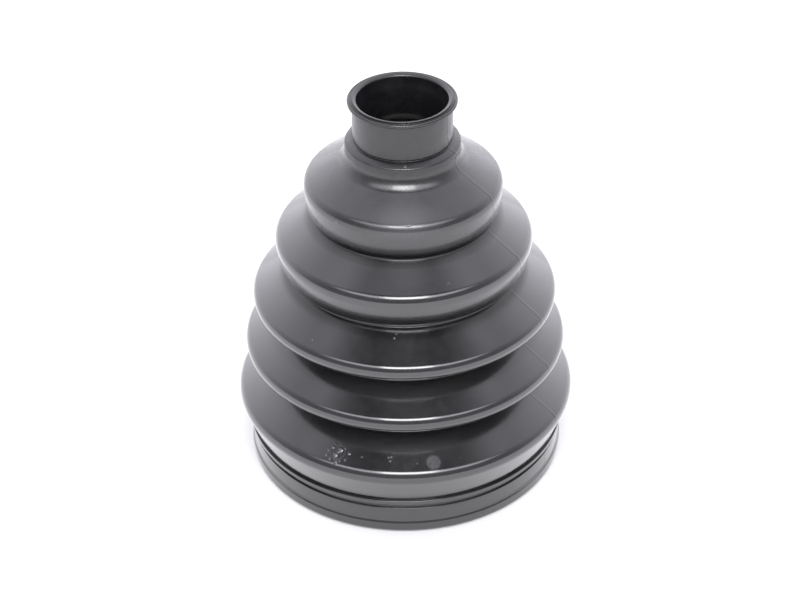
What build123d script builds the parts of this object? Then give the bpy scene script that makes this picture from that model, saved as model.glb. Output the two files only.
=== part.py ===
"""Rubber bellows boot: one moulded piece, turned about +Z.

Origin: centre of the big end's lower rim. +Z runs up the axis to the small end. Millimetres.
"""

import os
from math import acos, atan2, cos, sin

from build123d import *

os.makedirs("parts", exist_ok=True)

# Folding wall: the same thickness from the big collar up to the end of the small sleeve
wall = 2.0
root_round = 0.5

# Outer radius, height and rounding of each crest, and radius and height of the root above it,
# from the big end up
crests = [(51.05, 21.9, 3.4), (48.2, 39.8, 3.0), (45.3, 56.2, 3.0), (37.95, 74.9, 3.4), (29.0, 93.0, 3.4)]
roots = [(39.5, 31.6), (37.5, 48.8), (34.3, 65.6), (27.25, 83.85)]

# Big end: lip, clamp seat, groove and bead on one thick ring under the lowest fold
big_bore = 44.8
collar_wall = 2.7
mouth_chamfer = 0.5
lip_rise = 0.45
lip_height = 3.4
lip_round = 1.4
seat_run_in = 0.9
seat_blend = 2.0
big_seat_height = 4.6
groove_depth = 0.5
groove_height = 1.8
bead_rise = 0.7
bead_height = 1.4
collar_edge = 0.3

big_seat = big_bore + collar_wall
seat_bottom = lip_height + seat_run_in
seat_top = seat_bottom + big_seat_height
bead_bottom = seat_top + groove_height
bead_top = bead_bottom + bead_height

# Neck: an upright step that rises out of the top fold in a wide hollow curve, and slopes in
# over its shoulder to the sleeve
neck_radius = 17.0
neck_rise = 12.0
neck_round = 5.0
shoulder_height = 2.1
shoulder_slope = 1.2
shoulder_round = 0.9

neck_bottom = crests[-1][1] + neck_rise

# Small end: sleeve with a clamp seat, closed above by a round-edged flange and a short rim
small_bore = 12.5
small_seat_height = 11.2
flange_rise = 1.35
flange_height = 1.15
flange_round = 0.55
rim_height = 0.4
rim_round = 0.95
rim_edge = 0.25

small_seat = small_bore + wall
small_seat_bottom = neck_bottom + shoulder_height + shoulder_slope
flange_bottom = small_seat_bottom + small_seat_height
flange_top = flange_bottom + flange_height
height = flange_top + rim_height


def flank(crest, root, turn):
    """Ends of the straight line that passes between a crest and a root circle and touches both."""
    gap = root[0] - crest[0]
    facing = atan2(gap.Y, gap.X) + turn * acos((crest[1] + root[1]) / gap.length)
    outward = Vector(cos(facing), sin(facing))
    return crest[0] + outward * crest[1], root[0] - outward * root[1]


with BuildPart() as bellows_boot:
    with BuildSketch(Plane.XZ) as section:
        # Folds: crest circles bulge outwards, root circles inwards, and each flank touches one
        # of both. The foot of the lowest flank counts as a root circle of no size.
        with BuildLine():
            peaks = [(Vector(r - tip_round, z), tip_round) for r, z, tip_round in crests]
            bends = [(Vector(big_seat, bead_top), 0)]
            bends += [(Vector(r + root_round, z), root_round) for r, z in roots]
            bends += [(Vector(neck_radius + neck_round, neck_bottom), neck_round)]
            flanks = []
            for peak, below, above in zip(peaks, bends, bends[1:]):
                flanks.append(Line(*reversed(flank(peak, below, 1))))
                flanks.append(Line(*flank(peak, above, -1)))
            for lower, upper in zip(flanks, flanks[1:]):
                TangentArc(lower @ 1, upper @ 0, tangent=lower % 1)
            TangentArc(flanks[-1] @ 1, (neck_radius, neck_bottom), tangent=flanks[-1] % 1)
            FilletPolyline(
                (neck_radius, neck_bottom),
                (neck_radius, neck_bottom + shoulder_height),
                (small_seat, small_seat_bottom),
                (small_seat, flange_bottom),
                radius=[shoulder_round, 0],
            )
            Polyline(
                (small_seat, flange_bottom),
                (0, flange_bottom),
                (0, bead_top),
                (big_seat, bead_top),
            )
        make_face()

        # The cavity keeps one wall thickness from the outside all the way up, and opens at
        # both ends
        offset(amount=-wall, mode=Mode.SUBTRACT)
        with Locations((0, bead_top)):
            Rectangle(small_bore, height, align=Align.MIN, mode=Mode.SUBTRACT)
            Rectangle(big_bore, wall, align=Align.MIN, mode=Mode.SUBTRACT)

        # Big collar, up to where the cavity widens out of its bore
        with BuildLine():
            FilletPolyline(
                (big_bore, mouth_chamfer),
                (big_bore + mouth_chamfer, 0),
                (big_seat + lip_rise, 0),
                (big_seat + lip_rise, lip_height),
                (big_seat, seat_bottom),
                (big_seat, seat_top),
                (big_seat - groove_depth, seat_top),
                (big_seat - groove_depth, bead_bottom),
                (big_seat + bead_rise, bead_bottom),
                (big_seat + bead_rise, bead_top),
                (big_seat, bead_top),
                (big_seat, bead_top + wall),
                (big_bore, bead_top + wall),
                radius=[0, 0, lip_round, 0, seat_blend, collar_edge, 0, 0, collar_edge, collar_edge, 0, 0, 0],
                close=True,
            )
        make_face()

        # Flange and rim at the top of the small sleeve
        with BuildLine():
            FilletPolyline(
                (small_bore, flange_bottom),
                (small_seat + flange_rise, flange_bottom),
                (small_seat + flange_rise, flange_top),
                (small_seat, flange_top),
                (small_seat, height),
                (small_bore, height),
                radius=[0, flange_round, flange_round, 0, rim_edge, rim_round],
                close=True,
            )
        make_face()
    revolve(axis=Axis.Z)

bellows_boot.part.label = "bellows_boot"
export_step(bellows_boot.part, "parts/bellows_boot.step")
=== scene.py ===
import bpy
import numpy as np
from mathutils import Matrix


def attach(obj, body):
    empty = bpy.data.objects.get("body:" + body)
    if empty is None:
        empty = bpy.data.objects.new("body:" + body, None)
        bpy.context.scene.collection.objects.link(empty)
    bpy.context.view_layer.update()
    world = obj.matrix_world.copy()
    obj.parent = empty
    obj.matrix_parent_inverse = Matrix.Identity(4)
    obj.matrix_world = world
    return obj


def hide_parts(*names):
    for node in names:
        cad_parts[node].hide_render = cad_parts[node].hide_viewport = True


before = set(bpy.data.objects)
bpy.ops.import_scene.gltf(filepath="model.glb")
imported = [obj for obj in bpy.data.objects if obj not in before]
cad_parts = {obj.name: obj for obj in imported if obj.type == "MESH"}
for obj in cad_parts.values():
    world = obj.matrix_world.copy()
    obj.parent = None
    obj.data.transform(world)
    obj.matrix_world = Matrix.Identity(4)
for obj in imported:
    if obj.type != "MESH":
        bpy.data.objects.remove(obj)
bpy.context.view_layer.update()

# ---------------------------------------------------------------------------------------------
# Bellows boot: one piece of black rubber, moulded in two halves over a core and pulled off it.
# Five even-walled folds join a thick ribbed collar, clamped on a joint housing, to a plain
# sleeve, clamped on a shaft. Sizes are in millimetres.
# ---------------------------------------------------------------------------------------------
wall = 2.0
root_round = 0.5
# Radius, height and rounding of each crest and of the neck's hollow, from the collar up, and
# radius and height of the roots between them
crests = np.array([
    [51.05, 21.9, 3.4],
    [48.2, 39.8, 3.0],
    [45.3, 56.2, 3.0],
    [37.95, 74.9, 3.4],
    [29.0, 93.0, 3.4],
])
roots = np.array([[39.5, 31.6], [37.5, 48.8], [34.3, 65.6], [27.25, 83.85]])
neck_bend = np.array([[22.0, 105.0, -5.0]])
soft_edge = 0.08

# Corners as (radius, height, rounding), walked with the rubber on the left hand
collar = np.array([
    [44.8, 2.0, 0.0],
    [44.8, 0.5, soft_edge],
    [45.3, 0.0, soft_edge],
    [47.95, 0.0, 1.4],
    [47.95, 3.4, 0.3],
    [47.5, 4.3, 2.0],
    [47.5, 8.9, 0.3],
    [47.0, 8.9, soft_edge],
    [47.0, 10.7, soft_edge],
    [48.2, 10.7, 0.3],
    [48.2, 12.1, 0.3],
    [47.5, 12.1, soft_edge],
    [51.0, 20.0, 0.0],
])
sleeve = np.array([
    [17.0, 105.0, 0.0],
    [17.0, 107.1, 0.9],
    [14.5, 108.3, soft_edge],
    [14.5, 119.5, soft_edge],
    [15.85, 119.5, 0.53],
    [15.85, 120.65, 0.53],
    [14.5, 120.65, soft_edge],
    [14.5, 121.05, 0.25],
    [12.5, 121.05, 0.95],
    [12.5, 108.3, 2.0],
    [13.635, 106.497, soft_edge],
    [15.0, 105.842, soft_edge],
    [15.0, 105.0, 0.0],
])
housing_bore = np.array([
    [49.0, 20.0, 0.0],
    [46.18, 14.1, soft_edge],
    [44.8, 14.1, soft_edge],
    [44.8, 0.5, 0.0],
])


def corner_circles(corners):
    """Circles that round a line of corners; the first and last corner only give its direction.

    With a and b the outward normals before and after a corner, the centre lies back from the
    corner along a + b by the rounding over (1 + a.b). A hollow corner's radius is negative.
    """
    step = np.diff(corners[:, :2], axis=0)
    step /= np.linalg.norm(step, axis=1, keepdims=True)
    out = np.column_stack([step[:, 1], -step[:, 0]])
    before, after = out[:-1], out[1:]
    turn = step[:-1, 0] * step[1:, 1] - step[:-1, 1] * step[1:, 0]
    radius = np.sign(turn) * corners[1:-1, 2]
    back = radius / (1 + (before * after).sum(axis=1))
    return np.column_stack([corners[1:-1, :2] - (before + after) * back[:, None], radius])


def fold_circles():
    """Crest and root circles from the collar up: crests bulge, roots are hollow (negative)."""
    peaks = crests - crests[:, 2:] * [1, 0, 0]
    bends = np.column_stack([roots + [root_round, 0], np.full(len(roots), -root_round)])
    circles = np.empty((len(peaks) + len(bends), 3))
    circles[0::2], circles[1::2] = peaks, bends
    return np.vstack([circles, neck_bend])


def turned(circles):
    """The same circles walked along the inner wall: one wall thickness in, and downwards."""
    return (circles * [1, 1, -1] + [0, 0, wall])[::-1]


section = np.vstack([
    corner_circles(collar),
    fold_circles(),
    corner_circles(sleeve),
    turned(fold_circles()),
    corner_circles(housing_bore),
])

# Each circle gives an arc and then the straight tangent to the next circle. The tangent turns
# from the line of centres by arcsin((radius - next radius) / distance).
centre, radius = section[:, :2], section[:, 2]
gap = np.roll(centre, -1, axis=0) - centre
heading = np.arctan2(gap[:, 1], gap[:, 0])
heading += np.arcsin((radius - np.roll(radius, -1)) / np.hypot(gap[:, 0], gap[:, 1]))
arrival = np.roll(heading, 1)
bend = (heading - arrival + np.pi) % (2 * np.pi) - np.pi
leave = centre + radius[:, None] * np.column_stack([np.sin(heading), -np.cos(heading)])
meet = centre + radius[:, None] * np.column_stack([np.sin(arrival), -np.cos(arrival)])
arc_length = np.abs(radius * bend)
run_length = np.linalg.norm(np.roll(meet, -1, axis=0) - leave, axis=1)
arc_start = np.concatenate([[0], np.cumsum(arc_length + run_length)[:-1]])
run_start = arc_start + arc_length
girth = run_start[-1] + run_length[-1]


def along_section(s):
    """Radius, height and outward normal at distance s along the section's closed line.

    On an arc the heading grows evenly with s, and the point is the centre plus the radius times
    the normal; on a tangent the point moves straight from where the arc ends.
    """
    i = np.searchsorted(arc_start, s, side="right") - 1
    on_arc = np.clip((s - arc_start[i]) / np.maximum(arc_length[i], 1e-9), 0, 1)
    angle = arrival[i] + bend[i] * on_arc
    normal = np.column_stack([np.sin(angle), -np.cos(angle)])
    straight = np.maximum(s - run_start[i], 0)[:, None]
    ahead = np.column_stack([np.cos(heading[i]), np.sin(heading[i])])
    return centre[i] + radius[i][:, None] * normal + straight * ahead, normal


def soft_step(x, width):
    """Smooth rise from 0 to 1 over a width centred on x = 0: t * t * (3 - 2t), t going across."""
    t = np.clip(x / width + 0.5, 0, 1)
    return t * t * (3 - 2 * t)


def ridge(x, width):
    """Rounded ridge of height 1 at x = 0 that is gone at the width: (1 - (x / width)^2)^2."""
    return np.clip(1 - (x / width) ** 2, 0, 1) ** 2


# Marks of the mould and of handling, and the middle of a painted highlight on the top fold, at a
# distance along the section and an angle in degrees from the front
parting_angles = (62.55, -117.45)
dial_at = (33.8, -25.15)
ejector_at = (32.8, 9.45)
gate_at = (150.7, 2.2)
# Middle of an oval of painted highlight on the top fold's front
painted_highlight_at = (133.4, 0.0)

# Nicks: distance along the section, angle, size, height
nicks = np.array([
    [33.9, -16.1, 0.45, 0.03],
    [33.7, -5.8, 0.45, 0.04],
    [34.7, -6.6, 0.35, 0.03],
    [34.7, -5.4, 0.35, -0.04],
    [32.95, 3.75, 0.30, 0.02],
    [93.45, -4.0, 0.35, 0.05],
    [92.05, -4.75, 0.35, 0.04],
    [111.0, 21.0, 0.40, 0.04],
    [129.6, -40.5, 0.50, 0.06],
    [132.3, 2.75, 0.45, -0.06],
    [160.2, 11.0, 0.45, -0.05],
])


def offsets(s, angle, radius, spot):
    """Distances in mm from a spot: along the section, and around the axis as angle * radius."""
    return s - spot[0], np.radians(angle - spot[1]) * radius


# Studs round the dial, in the same order
studs = np.array([
    [34.90, -27.75, 0.55, 0.095],
    [33.60, -29.00, 0.45, 0.060],
    [32.00, -29.00, 0.45, 0.065],
    [31.20, -27.25, 0.42, 0.060],
    [30.65, -24.75, 0.50, 0.090],
    [29.90, -24.50, 0.50, 0.080],
    [31.35, -23.50, 0.40, 0.040],
    [32.05, -21.75, 0.40, 0.040],
    [34.25, -21.00, 0.48, 0.075],
    [35.55, -23.00, 0.42, 0.050],
    [36.75, -25.50, 0.40, 0.035],
    [36.05, -27.50, 0.40, 0.035],
])


def dial(s, angle, radius):
    """Mould date dial: a bar with a dome at each end, inside a faint ring and uneven studs.

    With d the distance from the dial's centre, the ring is a ridge in d, the bar a ridge across
    the way it points, and every dome or stud a ridge in the distance from its own place.
    """
    along, across = offsets(s, angle, radius, dial_at)
    height = 0.022 * ridge(np.hypot(along, across) - 2.3, 0.35)
    pointing, half_bar = np.radians(28.5), 1.1
    ahead = along * np.cos(pointing) + across * np.sin(pointing)
    aside = across * np.cos(pointing) - along * np.sin(pointing)
    bar = 0.07 * ridge(aside, 0.45) * soft_step(half_bar - np.abs(ahead), 0.4)
    domes = 0.17 * ridge(np.hypot(np.abs(ahead) - 1.08, aside), 0.98)
    height = np.maximum(np.maximum(height, bar), domes)
    for stud in studs:
        along, across = offsets(s, angle, radius, stud)
        size, rise = 1.25 * stud[2:]
        height = np.maximum(height, rise * ridge(np.hypot(along, across), size))
    return height


# Fullness in mm of the lower side of two small folds, by the number in the section of the root
# it rises from: the roots are 12, 14, 16 and 18, and the crests have the odd numbers 11 to 19
full_side = {16: 1.0, 18: 0.5}


def fullness(s):
    """Bulge of a fold's lower side: u^0.8 * (1 - u)^1.5 over its peak, 0.226.

    u goes from 0 at the root's end to 1 a little way round the crest.
    """
    height, round_crest = 0, 1.3
    for root, amount in full_side.items():
        length = arc_start[root + 1] + round_crest - run_start[root]
        u = np.clip((s - run_start[root]) / length, 0, 1)
        height = height + amount * u ** 0.8 * (1 - u) ** 1.5 / 0.226
    return height


def relief(s, angle, radius):
    """Height in mm of the moulded surface over the plain section, negative where it is sunk.

    Slow waves of a few hundredths, left by pulling the boot off its core, are three sines of 5,
    11 and 17 turns, kept below the plain section. A fine flash line runs wavering down each
    parting of the mould. The dial, the gate's stub and the nicks stand proud or sunk as ridges,
    and the ejector pin's disc as a soft step. The marks fade out at the collar's lip and at the
    sleeve's flange. The neck is a little waisted, a shallow groove lies at the sleeve's foot and
    one above the flange, the rim falls a little inwards, and two lower sides are full.
    """
    turn = np.radians(angle)
    outside = soft_step(s - 4.6, 1.0) * soft_step(165.4 - s, 0.6)
    wave = np.sin(5 * turn + 0.11 * s) + np.sin(11 * turn - 0.23 * s + 1.9)
    wave = 0.008 * (wave + 0.7 * np.sin(17 * turn + 0.31 * s + 4.0) - 2.7)
    height = wave
    for parting in parting_angles:
        across = np.radians((angle - parting + 180) % 360 - 180) * radius
        height = height + 0.05 * ridge(across - 0.05 * np.sin(0.9 * s), 0.42)
    height = np.maximum(height, dial(s, angle, radius) + wave)
    along, across = offsets(s, angle, radius, ejector_at)
    height = height - 0.015 * soft_step(2.15 - np.hypot(along, across), 0.8)
    along, across = offsets(s, angle, radius, gate_at)
    height = height + 0.16 * ridge(np.hypot(along, across), 0.8)
    for nick in nicks:
        along, across = offsets(s, angle, radius, nick)
        height = height + nick[3] * ridge(np.hypot(along, across), nick[2])
    rim_groove = -0.22 * ridge(s - 166.4, 0.6)
    foot_groove = -0.14 * ridge(s - 152.1, 0.5)
    waist = -0.2 * soft_step(s - 144.9, 3.0) * soft_step(149.6 - s, 3.6)
    lip_slope = -0.75 * soft_step(s - 168.1, 2.1) * soft_step(173.0 - s, 5.0)
    return outside * height + fullness(s) + rim_groove + foot_groove + waist + lip_slope


# By root: how far the painted shade of a fold reaches down the flank below it, and over how much
# it fades. By sharp corner: the width of its painted dark line of shade.
fold_painted_shade = {12: (2.9, 1.6), 14: (2.9, 1.6), 16: (2.8, 2.8), 18: (1.8, 2.4)}
corner_painted_shade = {6: 0.34, 7: 0.34, 10: 0.34, 22: 0.34, 26: 0.18}


def painted_crease_shade(s):
    """Painted shade in a fold or corner, by how deep the place is: 1 in each root, fading away on
    both sides.

    On the flank side a soft step ends the painted shade at its reach; above the root, and at the
    sharp corners of rim, sleeve and clamp groove, it dies away as exp(-(distance / width)^2).
    corners of rim, sleeve and clamp groove, it dies away as exp(-(distance / width)^2).
    """
    depth = 0
    for root, (reach, fade) in fold_painted_shade.items():
        below = (arc_start[root] + run_start[root]) / 2 - s
        above = np.exp(-(below / 1.2) ** 2)
        depth = depth + np.where(below > 0, soft_step(reach - below, fade), above)
    for corner, width in corner_painted_shade.items():
        depth = depth + np.exp(-((s - arc_start[corner]) / width) ** 2)
    return np.clip(depth, 0, 1)


def pale_and_painted_highlight(s, angle, radius):
    """How pale the rubber is, rubbed by hands or touched by steel, and where a highlight is
    painted:
    the largest of its patches.

    They are the ejector's disc, the dial's studs, the gate, an oval of painted highlight on the
    top fold and nicks that stand proud. Each fades with the distance from its middle.
    """
    along, across = offsets(s, angle, radius, ejector_at)
    shade = 0.6 * soft_step(2.1 - np.hypot(along, across), 0.7)
    shade = np.maximum(shade, np.minimum(dial(s, angle, radius) * 6, 0.8))
    along, across = offsets(s, angle, radius, gate_at)
    shade = np.maximum(shade, 0.35 * ridge(np.hypot(along, across), 1.0))
    along, across = offsets(s, angle, radius, painted_highlight_at)
    # Painted highlight: a pale oval on the top fold's front
    shade = np.maximum(shade, 0.6 * ridge(np.hypot(along / 8, across / 15), 1.0))
    for nick in nicks:
        along, across = offsets(s, angle, radius, nick)
        proud = 0.6 * (nick[3] > 0)
        shade = np.maximum(shade, proud * ridge(np.hypot(along, across), nick[2] + 0.15))
    return shade


def spread(start, length, count):
    """count even steps over each stretch, without its end, joined into one array."""
    return np.concatenate([a + b * np.arange(n) / n for a, b, n in zip(start, length, count)])


# Rows follow the section: on arcs every 9 degrees outside and 20 inside or on small roundings,
# on tangents every 3.5 mm, and closer at the nicks, grooves, neck and full lower sides
rim_at, bore_at = 167, 172
arc_step = np.where((arc_start < rim_at) & (np.abs(radius) > 0.6), 9, 20)
arc_steps = np.clip(np.ceil(np.degrees(np.abs(bend)) / arc_step), 2, None)
arc_steps = np.where(np.abs(radius) < 0.2, 2, arc_steps).astype(int)
run_steps = np.ceil(run_length / 3.5).astype(int)
around_nick = np.array([-0.5, -0.18, 0.18, 0.5])
upper_nicks = nicks[:, 0] > 50
plain_rows = np.unique(np.concatenate([
    spread(arc_start, arc_length, arc_steps),
    spread(run_start, run_length, run_steps),
    (nicks[upper_nicks, :1] + around_nick).ravel(),
    np.arange(151.9, 152.7, 0.12),
    np.arange(165.7, 169.5, 0.15),
    np.arange(run_start[16], arc_start[17], 0.6),
    np.arange(run_start[18], arc_start[19], 0.8),
    np.arange(run_start[19], arc_start[20], 1.1),
    np.arange(142.4, 147.4, 0.4),
]))
plain_rows = plain_rows[np.diff(plain_rows, prepend=-1.0) > 0.05]

# Columns are counted in ticks of 0.15 degrees: one in thirty inside, one in fifteen outside,
# more at the partings and nicks, and every one, two or four across the dial, disc and gate
tick = 0.15
bare = np.arange(-1200, 1200, 15)
hidden = bare[::2]
beside_parting = np.array([-9, -6, -4, -2, 0, 2, 4, 6, 9])
for parting in parting_angles:
    bare = np.union1d(bare, round(parting / tick) + beside_parting)
nick_ticks = np.rint(nicks[:, 1:2] / tick + around_nick * 8).astype(int)
plain = np.union1d(bare, nick_ticks[upper_nicks])
dial_ticks, disc_ticks = np.arange(-200, -133), np.arange(43, 84, 2)
gate_ticks = np.arange(-29, 52, 4)
face_marks = np.concatenate([dial_ticks, disc_ticks, nick_ticks[~upper_nicks].ravel()])
face_marks = np.union1d(plain, face_marks)
neck_marks = np.union1d(plain, gate_ticks)

# Blocks of rows that share their columns, walked from the collar's lip
fine_bands = ((28.9, 37.3, 0.12, face_marks), (147.6, 151.85, 0.17, neck_marks))
blocks, done = [], -1.0
for first, last, step, ticks in fine_bands:
    rows = plain_rows[(plain_rows > done) & (plain_rows < first - 0.05)]
    blocks.append((rows, plain if done > 0 else bare))
    blocks.append((np.arange(first, last, step), ticks))
    done = last + 0.05
blocks.append((plain_rows[(plain_rows > done) & (plain_rows < bore_at)], plain))
blocks.append((plain_rows[plain_rows >= bore_at], hidden))

# Each block is a grid of points: the section's place moved by the relief along its normal, and
# turned round the axis from the front. The normals lean against the slope of the relief.
widest = 51.04
points, normals, painted_crease_shades, pale_and_highlight_values, quads, joins, starts = [], [], [], [], [], [], []
count, nudge = 0, 0.02
for s, ticks in blocks:
    place, facing = along_section(s)
    s, r = s[:, None], place[:, :1]
    angle = (ticks * tick)[None, :]
    height = relief(s, angle, r)
    rise_along = (relief(s + nudge, angle, r) - relief(s - nudge, angle, r)) / (2 * nudge)
    turn = np.degrees(nudge / r)
    rise_around = (relief(s, angle + turn, r) - relief(s, angle - turn, r)) / (2 * nudge)
    across_r, across_z = facing[:, :1], facing[:, 1:]
    sin, cos = np.sin(np.radians(angle)), np.cos(np.radians(angle))
    reach = np.minimum(r + across_r * height, widest)
    level = place[:, 1:] + across_z * height
    points.append(np.stack([reach * sin, -reach * cos, level], axis=-1).reshape(-1, 3))
    lean_r = across_r + across_z * rise_along
    lean_z = across_z - across_r * rise_along
    normals.append(np.stack([
        lean_r * sin - rise_around * cos,
        -lean_r * cos - rise_around * sin,
        lean_z + 0 * sin,
    ], axis=-1).reshape(-1, 3))
    # Painted shade of the creases and sharp corners, kept at the points
    painted_crease_shades.append((painted_crease_shade(s) + 0 * angle).ravel())
    pale_and_highlight_values.append(pale_and_painted_highlight(s, angle, r).ravel())
    index = count + np.arange(height.size).reshape(height.shape)
    right = np.roll(index, -1, axis=1)
    quads.append(np.stack([index[:-1], right[:-1], right[1:], index[1:]], axis=-1).reshape(-1, 4))
    starts.append((index, right, ticks))
    count += height.size


def stitch(below, above):
    """Triangles between two rows of points, where the columns of one are among the other's.

    Every fine step makes a triangle with the coarse point at its left, and every coarse step
    one with the fine point at its right end.
    """
    (row_a, next_a, ticks_a), (row_b, next_b, ticks_b) = below, above
    if len(ticks_a) == len(ticks_b):
        return np.concatenate([
            np.stack([row_a, next_a, next_b], axis=-1),
            np.stack([row_a, next_b, row_b], axis=-1),
        ])
    if len(ticks_a) < len(ticks_b):
        left = row_a[np.searchsorted(ticks_a, ticks_b, side="right") - 1]
        ends = row_b[np.roll(np.searchsorted(ticks_b, ticks_a), -1)]
        return np.concatenate([
            np.stack([left, next_b, row_b], axis=-1),
            np.stack([row_a, next_a, ends], axis=-1),
        ])
    left = row_b[np.searchsorted(ticks_b, ticks_a, side="right") - 1]
    ends = row_a[np.roll(np.searchsorted(ticks_a, ticks_b), -1)]
    return np.concatenate([
        np.stack([row_a, next_a, left], axis=-1),
        np.stack([ends, next_b, row_b], axis=-1),
    ])


for i, (index, right, ticks) in enumerate(starts):
    above = starts[(i + 1) % len(starts)]
    joins.append(stitch((index[-1], right[-1], ticks), (above[0][0], above[1][0], above[2])))
quads, joins = np.concatenate(quads), np.concatenate(joins)
points = np.concatenate(points) * 0.001

boot_mesh = bpy.data.meshes.new("boot_rubber")
boot_mesh.vertices.add(len(points))
boot_mesh.vertices.foreach_set("co", points.ravel())
boot_mesh.loops.add(quads.size + joins.size)
boot_mesh.loops.foreach_set("vertex_index", np.concatenate([quads.ravel(), joins.ravel()]))
boot_mesh.polygons.add(len(quads) + len(joins))
boot_mesh.polygons.foreach_set("loop_start", np.concatenate([
    np.arange(0, quads.size, 4), quads.size + np.arange(0, joins.size, 3)]))
boot_mesh.update(calc_edges=True)
boot_mesh.polygons.foreach_set("use_smooth", np.ones(len(boot_mesh.polygons), bool))
boot_mesh.normals_split_custom_set_from_vertices(np.concatenate(normals))
for name, values in (("painted_crease_shade", painted_crease_shades), ("pale_and_painted_highlight", pale_and_highlight_values)):
    layer = boot_mesh.attributes.new(name, "FLOAT", "POINT")
    layer.data.foreach_set("value", np.concatenate(values))
boot = bpy.data.objects.new("boot_rubber", boot_mesh)
bpy.context.scene.collection.objects.link(boot)

# Satin black rubber: near-black with a faint bloom, glossy on the folds, with painted shade that
# darkens and dulls the creases and a painted highlight on the top fold's front, duller towards
# the worn top, with a fine moulded skin and a few grey specks of dust
rubber = bpy.data.materials.new("satin_black_rubber")
rubber.use_nodes = True
nodes, links = rubber.node_tree.nodes, rubber.node_tree.links
shader = nodes["Principled BSDF"]
shader.inputs["Specular IOR Level"].default_value = 0.85
shader.inputs["Coat Weight"].default_value = 1.0
shader.inputs["Coat Roughness"].default_value = 0.14
place_on_boot = nodes.new("ShaderNodeTexCoord").outputs["Object"]


def mottle(scale, detail, distortion=0.0):
    """Even noise over the boot, scale in waves per metre."""
    node = nodes.new("ShaderNodeTexNoise")
    node.inputs["Scale"].default_value = scale
    node.inputs["Detail"].default_value = detail
    node.inputs["Distortion"].default_value = distortion
    links.new(place_on_boot, node.inputs["Vector"])
    return node.outputs["Fac"]


def ranged(source, low, high, at_low, at_high):
    """Straight change from at_low to at_high while the source goes from low to high."""
    node = nodes.new("ShaderNodeMapRange")
    node.inputs["From Min"].default_value = low
    node.inputs["From Max"].default_value = high
    node.inputs["To Min"].default_value = at_low
    node.inputs["To Max"].default_value = at_high
    links.new(source, node.inputs["Value"])
    return node.outputs["Result"]


def combined(operation, a, b):
    """One maths node on two outputs, or on an output and a number."""
    node = nodes.new("ShaderNodeMath")
    node.operation = operation
    for socket, value in zip(node.inputs, (a, b)):
        if isinstance(value, float):
            socket.default_value = value
        else:
            links.new(value, socket)
    return node.outputs["Value"]


def stored(name):
    """A value kept at the points of the mesh."""
    node = nodes.new("ShaderNodeAttribute")
    node.attribute_name = name
    return node.outputs["Fac"]


# Painted shade of the creases and corners, as stored at the points
painted_shade_in_crease = stored("painted_crease_shade")
# Rubbed pale marks, and a painted highlight on the top fold
rubbed_and_painted_highlight = stored("pale_and_painted_highlight")
height_up = nodes.new("ShaderNodeSeparateXYZ")
links.new(place_on_boot, height_up.inputs["Vector"])
worn = ranged(height_up.outputs["Z"], 0.075, 0.105, 0.0, 1.0)
sleeve_part = ranged(height_up.outputs["Z"], 0.103, 0.1055, 0.0, 1.0)
bloom = ranged(mottle(45.0, 5.0, 0.8), 0.35, 0.7, 0.0, 1.0)
smear = ranged(mottle(160.0, 6.0, 1.5), 0.45, 0.75, 0.0, 1.0)

# Grey specks sit on the middles of a few cells of a grain
dust = nodes.new("ShaderNodeTexVoronoi")
dust.inputs["Scale"].default_value = 190.0
links.new(place_on_boot, dust.inputs["Vector"])
grain = ranged(dust.outputs["Distance"], 0.035, 0.06, 1.0, 0.0)
chosen = nodes.new("ShaderNodeSeparateColor")
links.new(dust.outputs["Color"], chosen.inputs["Color"])
speck = combined("MULTIPLY", grain, ranged(chosen.outputs["Red"], 0.86, 0.9, 0.0, 1.0))

# Tone, from the painted shade of a crease through the bare rubber, at 0.06, to rubbed grey and
# the painted highlight
light = combined("ADD", combined("MULTIPLY", bloom, 0.02), combined("MULTIPLY", smear, 0.03))
light = combined("ADD", light, 0.06)
# Rubbed marks, and the painted highlight on the top fold, lighten it
light = combined("ADD", light, combined("MULTIPLY", rubbed_and_painted_highlight, 0.5))
light = combined("MAXIMUM", light, combined("MULTIPLY", speck, 0.9))
# Painted shade: the creases and sharp corners are darkened towards black
light = combined("SUBTRACT", light, painted_shade_in_crease)
tone = nodes.new("ShaderNodeValToRGB")
tone.color_ramp.elements[0].color = (0.003, 0.003, 0.0035, 1)
tone.color_ramp.elements[1].position = 0.06
tone.color_ramp.elements[1].color = (0.011, 0.0107, 0.012, 1)
rubbed_and_highlight_end = tone.color_ramp.elements.new(1.0)
rubbed_and_highlight_end.color = (0.15, 0.147, 0.158, 1)
links.new(light, tone.inputs["Fac"])
links.new(tone.outputs["Color"], shader.inputs["Base Color"])

# Roughness: fine mottling, and more of it where the rubber is bloomed, rubbed or worn, and under
# the painted highlight
matt = ranged(mottle(420.0, 6.0), 0.3, 0.7, 0.13, 0.19)
matt = combined("ADD", matt, combined("MULTIPLY", bloom, 0.04))
matt = combined("ADD", matt, combined("MULTIPLY", rubbed_and_painted_highlight, 0.14))
matt = combined("ADD", matt, combined("MULTIPLY", worn, 0.10))
matt = combined("ADD", matt, combined("MULTIPLY", combined("MULTIPLY", worn, smear), 0.12))
links.new(matt, shader.inputs["Roughness"])

# The glossy skin left by the polished mould thins at the worn top, and is taken off in the
# creases as part of their painted shade
gloss = combined("SUBTRACT", 1.0, combined("MULTIPLY", worn, 0.45))
gloss = combined("SUBTRACT", gloss, combined("MULTIPLY", sleeve_part, 0.45))
gloss = combined("MULTIPLY", gloss, combined("SUBTRACT", 1.0, painted_shade_in_crease))
links.new(gloss, shader.inputs["Coat Weight"])

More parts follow.
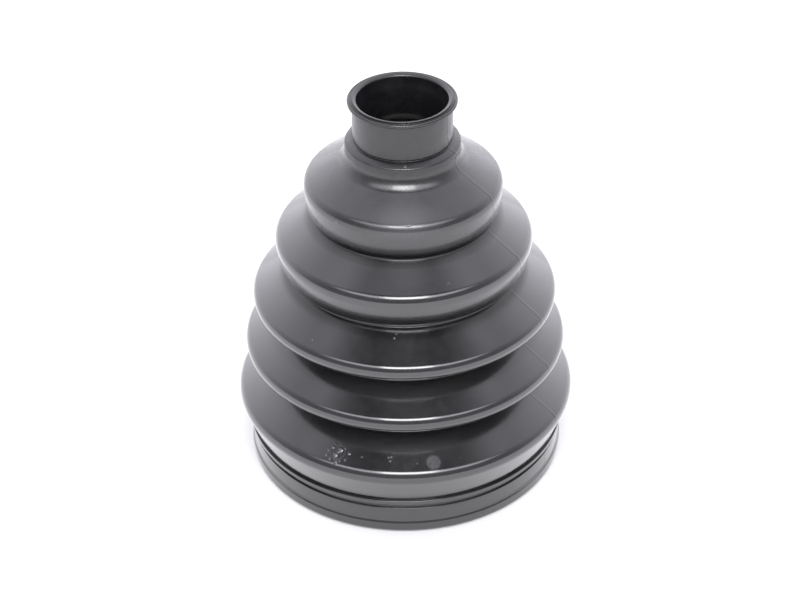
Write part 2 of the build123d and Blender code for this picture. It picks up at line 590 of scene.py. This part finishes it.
# Moulded grain, a hundredth of a millimetre deep
skin = combined("ADD", mottle(2600.0, 2.0), combined("MULTIPLY", mottle(620.0, 4.0), 1.6))
bump = nodes.new("ShaderNodeBump")
bump.inputs["Strength"].default_value = 0.3
bump.inputs["Distance"].default_value = 0.00001
links.new(skin, bump.inputs["Height"])
links.new(bump.outputs["Normal"], shader.inputs["Normal"])
links.new(bump.outputs["Normal"], shader.inputs["Coat Normal"])

boot_mesh.materials.append(rubber)
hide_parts("bellows_boot")
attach(boot, "root")

# ---------------------------------------------------------------------------------------------
# Studio: a matt white table that the loose boot stands on, one soft lamp above its front, and a
# white cloth tent round both. The table is wide, so that low views end on it too.
# ---------------------------------------------------------------------------------------------
half = 12.0
table_mesh = bpy.data.meshes.new("table_top")
corners = [(-half, -half, 0), (half, -half, 0), (half, half, 0), (-half, half, 0)]
table_mesh.from_pydata(corners, [], [(0, 1, 2, 3)])
table_top = bpy.data.objects.new("table_top", table_mesh)
bpy.context.scene.collection.objects.link(table_top)
white = bpy.data.materials.new("white_table")
white.use_nodes = True
table_nodes, table_links = white.node_tree.nodes, white.node_tree.links
table_shader = table_nodes["Principled BSDF"]
table_shader.inputs["Base Color"].default_value = (0.9, 0.9, 0.9, 1)
table_shader.inputs["Roughness"].default_value = 1.0
table_shader.inputs["Specular IOR Level"].default_value = 0.0

# It glows a little where the camera, a gloss or a clear thing sees it, which keeps it white
ray = table_nodes.new("ShaderNodeLightPath")
glow = table_nodes.new("ShaderNodeMath")
glow.operation = "MULTIPLY"
glow.inputs[1].default_value = 0.17
seen = table_nodes.new("ShaderNodeMath")
seen.operation = "MAXIMUM"
seen_through = table_nodes.new("ShaderNodeMath")
seen_through.operation = "MAXIMUM"
table_links.new(ray.outputs["Is Camera Ray"], seen.inputs[0])
table_links.new(ray.outputs["Is Glossy Ray"], seen.inputs[1])
table_links.new(seen.outputs[0], seen_through.inputs[0])
table_links.new(ray.outputs["Is Transmission Ray"], seen_through.inputs[1])
table_links.new(seen_through.outputs[0], glow.inputs[0])
table_shader.inputs["Emission Color"].default_value = (1, 1, 1, 1)
table_links.new(glow.outputs[0], table_shader.inputs["Emission Strength"])
table_mesh.materials.append(white)


def panel(name, radiance, width, depth, azimuth, elevation, distance):
    """Soft box aimed at the boot's middle, 6 cm up; its watts are radiance * pi * area.

    It stands off from there by its distance, towards its azimuth from the front and its
    elevation.
    """
    lamp = bpy.data.lights.new(name, "AREA")
    lamp.shape = "RECTANGLE"
    lamp.size, lamp.size_y = width, depth
    lamp.energy = radiance * np.pi * width * depth
    a, e = np.radians(azimuth), np.radians(elevation)
    back = np.array([np.sin(a) * np.cos(e), -np.cos(a) * np.cos(e), np.sin(e)])
    side = np.array([np.cos(a), np.sin(a), 0.0])
    up = np.cross(back, side)
    place = Matrix.Identity(4)
    spot = back * distance + [0, 0, 0.06]
    for column, vector in enumerate((side, up, back, spot)):
        for row in range(3):
            place[row][column] = vector[row]
    holder = bpy.data.objects.new(name, lamp)
    holder.matrix_world = place
    bpy.context.scene.collection.objects.link(holder)


panel("front_lamp", 8.0, 0.60, 0.38, 2, 52, 1.2)

# The tent: white walls, a roof that is bright behind the boot and dark in front, where the
# tent opens for the camera, a glow round the lamp and a bright cap right above
world = bpy.data.worlds.new("white_tent")
bpy.context.scene.world = world
world.use_nodes = True
tent_nodes, tent_links = world.node_tree.nodes, world.node_tree.links
room = tent_nodes["Background"]
where = tent_nodes.new("ShaderNodeTexCoord")
split = tent_nodes.new("ShaderNodeSeparateXYZ")
tent_links.new(where.outputs["Generated"], split.inputs[0])


def graded(source, low, high, at_low, at_high):
    """Smooth change from at_low to at_high while the source goes from low to high."""
    step = tent_nodes.new("ShaderNodeMapRange")
    step.interpolation_type = "SMOOTHSTEP"
    step.inputs["From Min"].default_value = low
    step.inputs["From Max"].default_value = high
    step.inputs["To Min"].default_value = at_low
    step.inputs["To Max"].default_value = at_high
    tent_links.new(source, step.inputs["Value"])
    return step.outputs[0]


def product(a, b):
    """One node that multiplies two outputs."""
    node = tent_nodes.new("ShaderNodeMath")
    node.operation = "MULTIPLY"
    tent_links.new(a, node.inputs[0])
    tent_links.new(b, node.inputs[1])
    return node.outputs[0]


def total(a, b):
    """One node that adds two outputs."""
    node = tent_nodes.new("ShaderNodeMath")
    tent_links.new(a, node.inputs[0])
    tent_links.new(b, node.inputs[1])
    return node.outputs[0]


toward_back, upward = split.outputs["Y"], split.outputs["Z"]
walls = product(graded(toward_back, -0.4, 0.9, 0.42, 1.8), graded(upward, 0.74, 0.86, 1.0, 0.0))
front_glow = product(graded(upward, 0.60, 0.70, 0.0, 1.0), graded(upward, 0.80, 0.89, 1.0, 0.0))
front_glow = product(front_glow, graded(toward_back, -0.46, -0.10, 2.8, 0.0))
roof = product(graded(toward_back, -0.24, 0.06, 0.06, 1.2), graded(upward, 0.74, 0.86, 0.0, 1.0))
roof = product(roof, graded(toward_back, 0.0, 0.9, 1.0, 1.5))
zenith = graded(upward, 0.955, 0.993, 0.0, 0.65)
tent = total(total(walls, front_glow), total(roof, zenith))
tent_links.new(tent, room.inputs["Strength"])
room.inputs["Color"].default_value = (0.975, 0.96, 1.03, 1)

# Camera: a long lens 54 cm in front and 43 cm up, looking 35 degrees down
lens = bpy.data.cameras.new("camera")
lens.sensor_width = 36
lens.lens = 99.0
eye = np.array([0.0, -0.54356, 0.43150])
pitch, yaw, roll = np.radians([35.009, -0.1467, -0.7699])
ahead = np.array([np.sin(yaw) * np.cos(pitch), np.cos(yaw) * np.cos(pitch), -np.sin(pitch)])
level_right = np.cross(ahead, [0, 0, 1])
level_right /= np.linalg.norm(level_right)
level_up = np.cross(level_right, ahead)
right = np.cos(roll) * level_right + np.sin(roll) * level_up
up = -np.sin(roll) * level_right + np.cos(roll) * level_up
camera = bpy.data.objects.new("camera", lens)
place = Matrix.Identity(4)
for column, vector in enumerate((right, up, -ahead, eye)):
    for row in range(3):
        place[row][column] = vector[row]
camera.matrix_world = place
bpy.context.scene.collection.objects.link(camera)
bpy.context.scene.camera = camera
bpy.context.scene.view_settings.view_transform = "Standard"
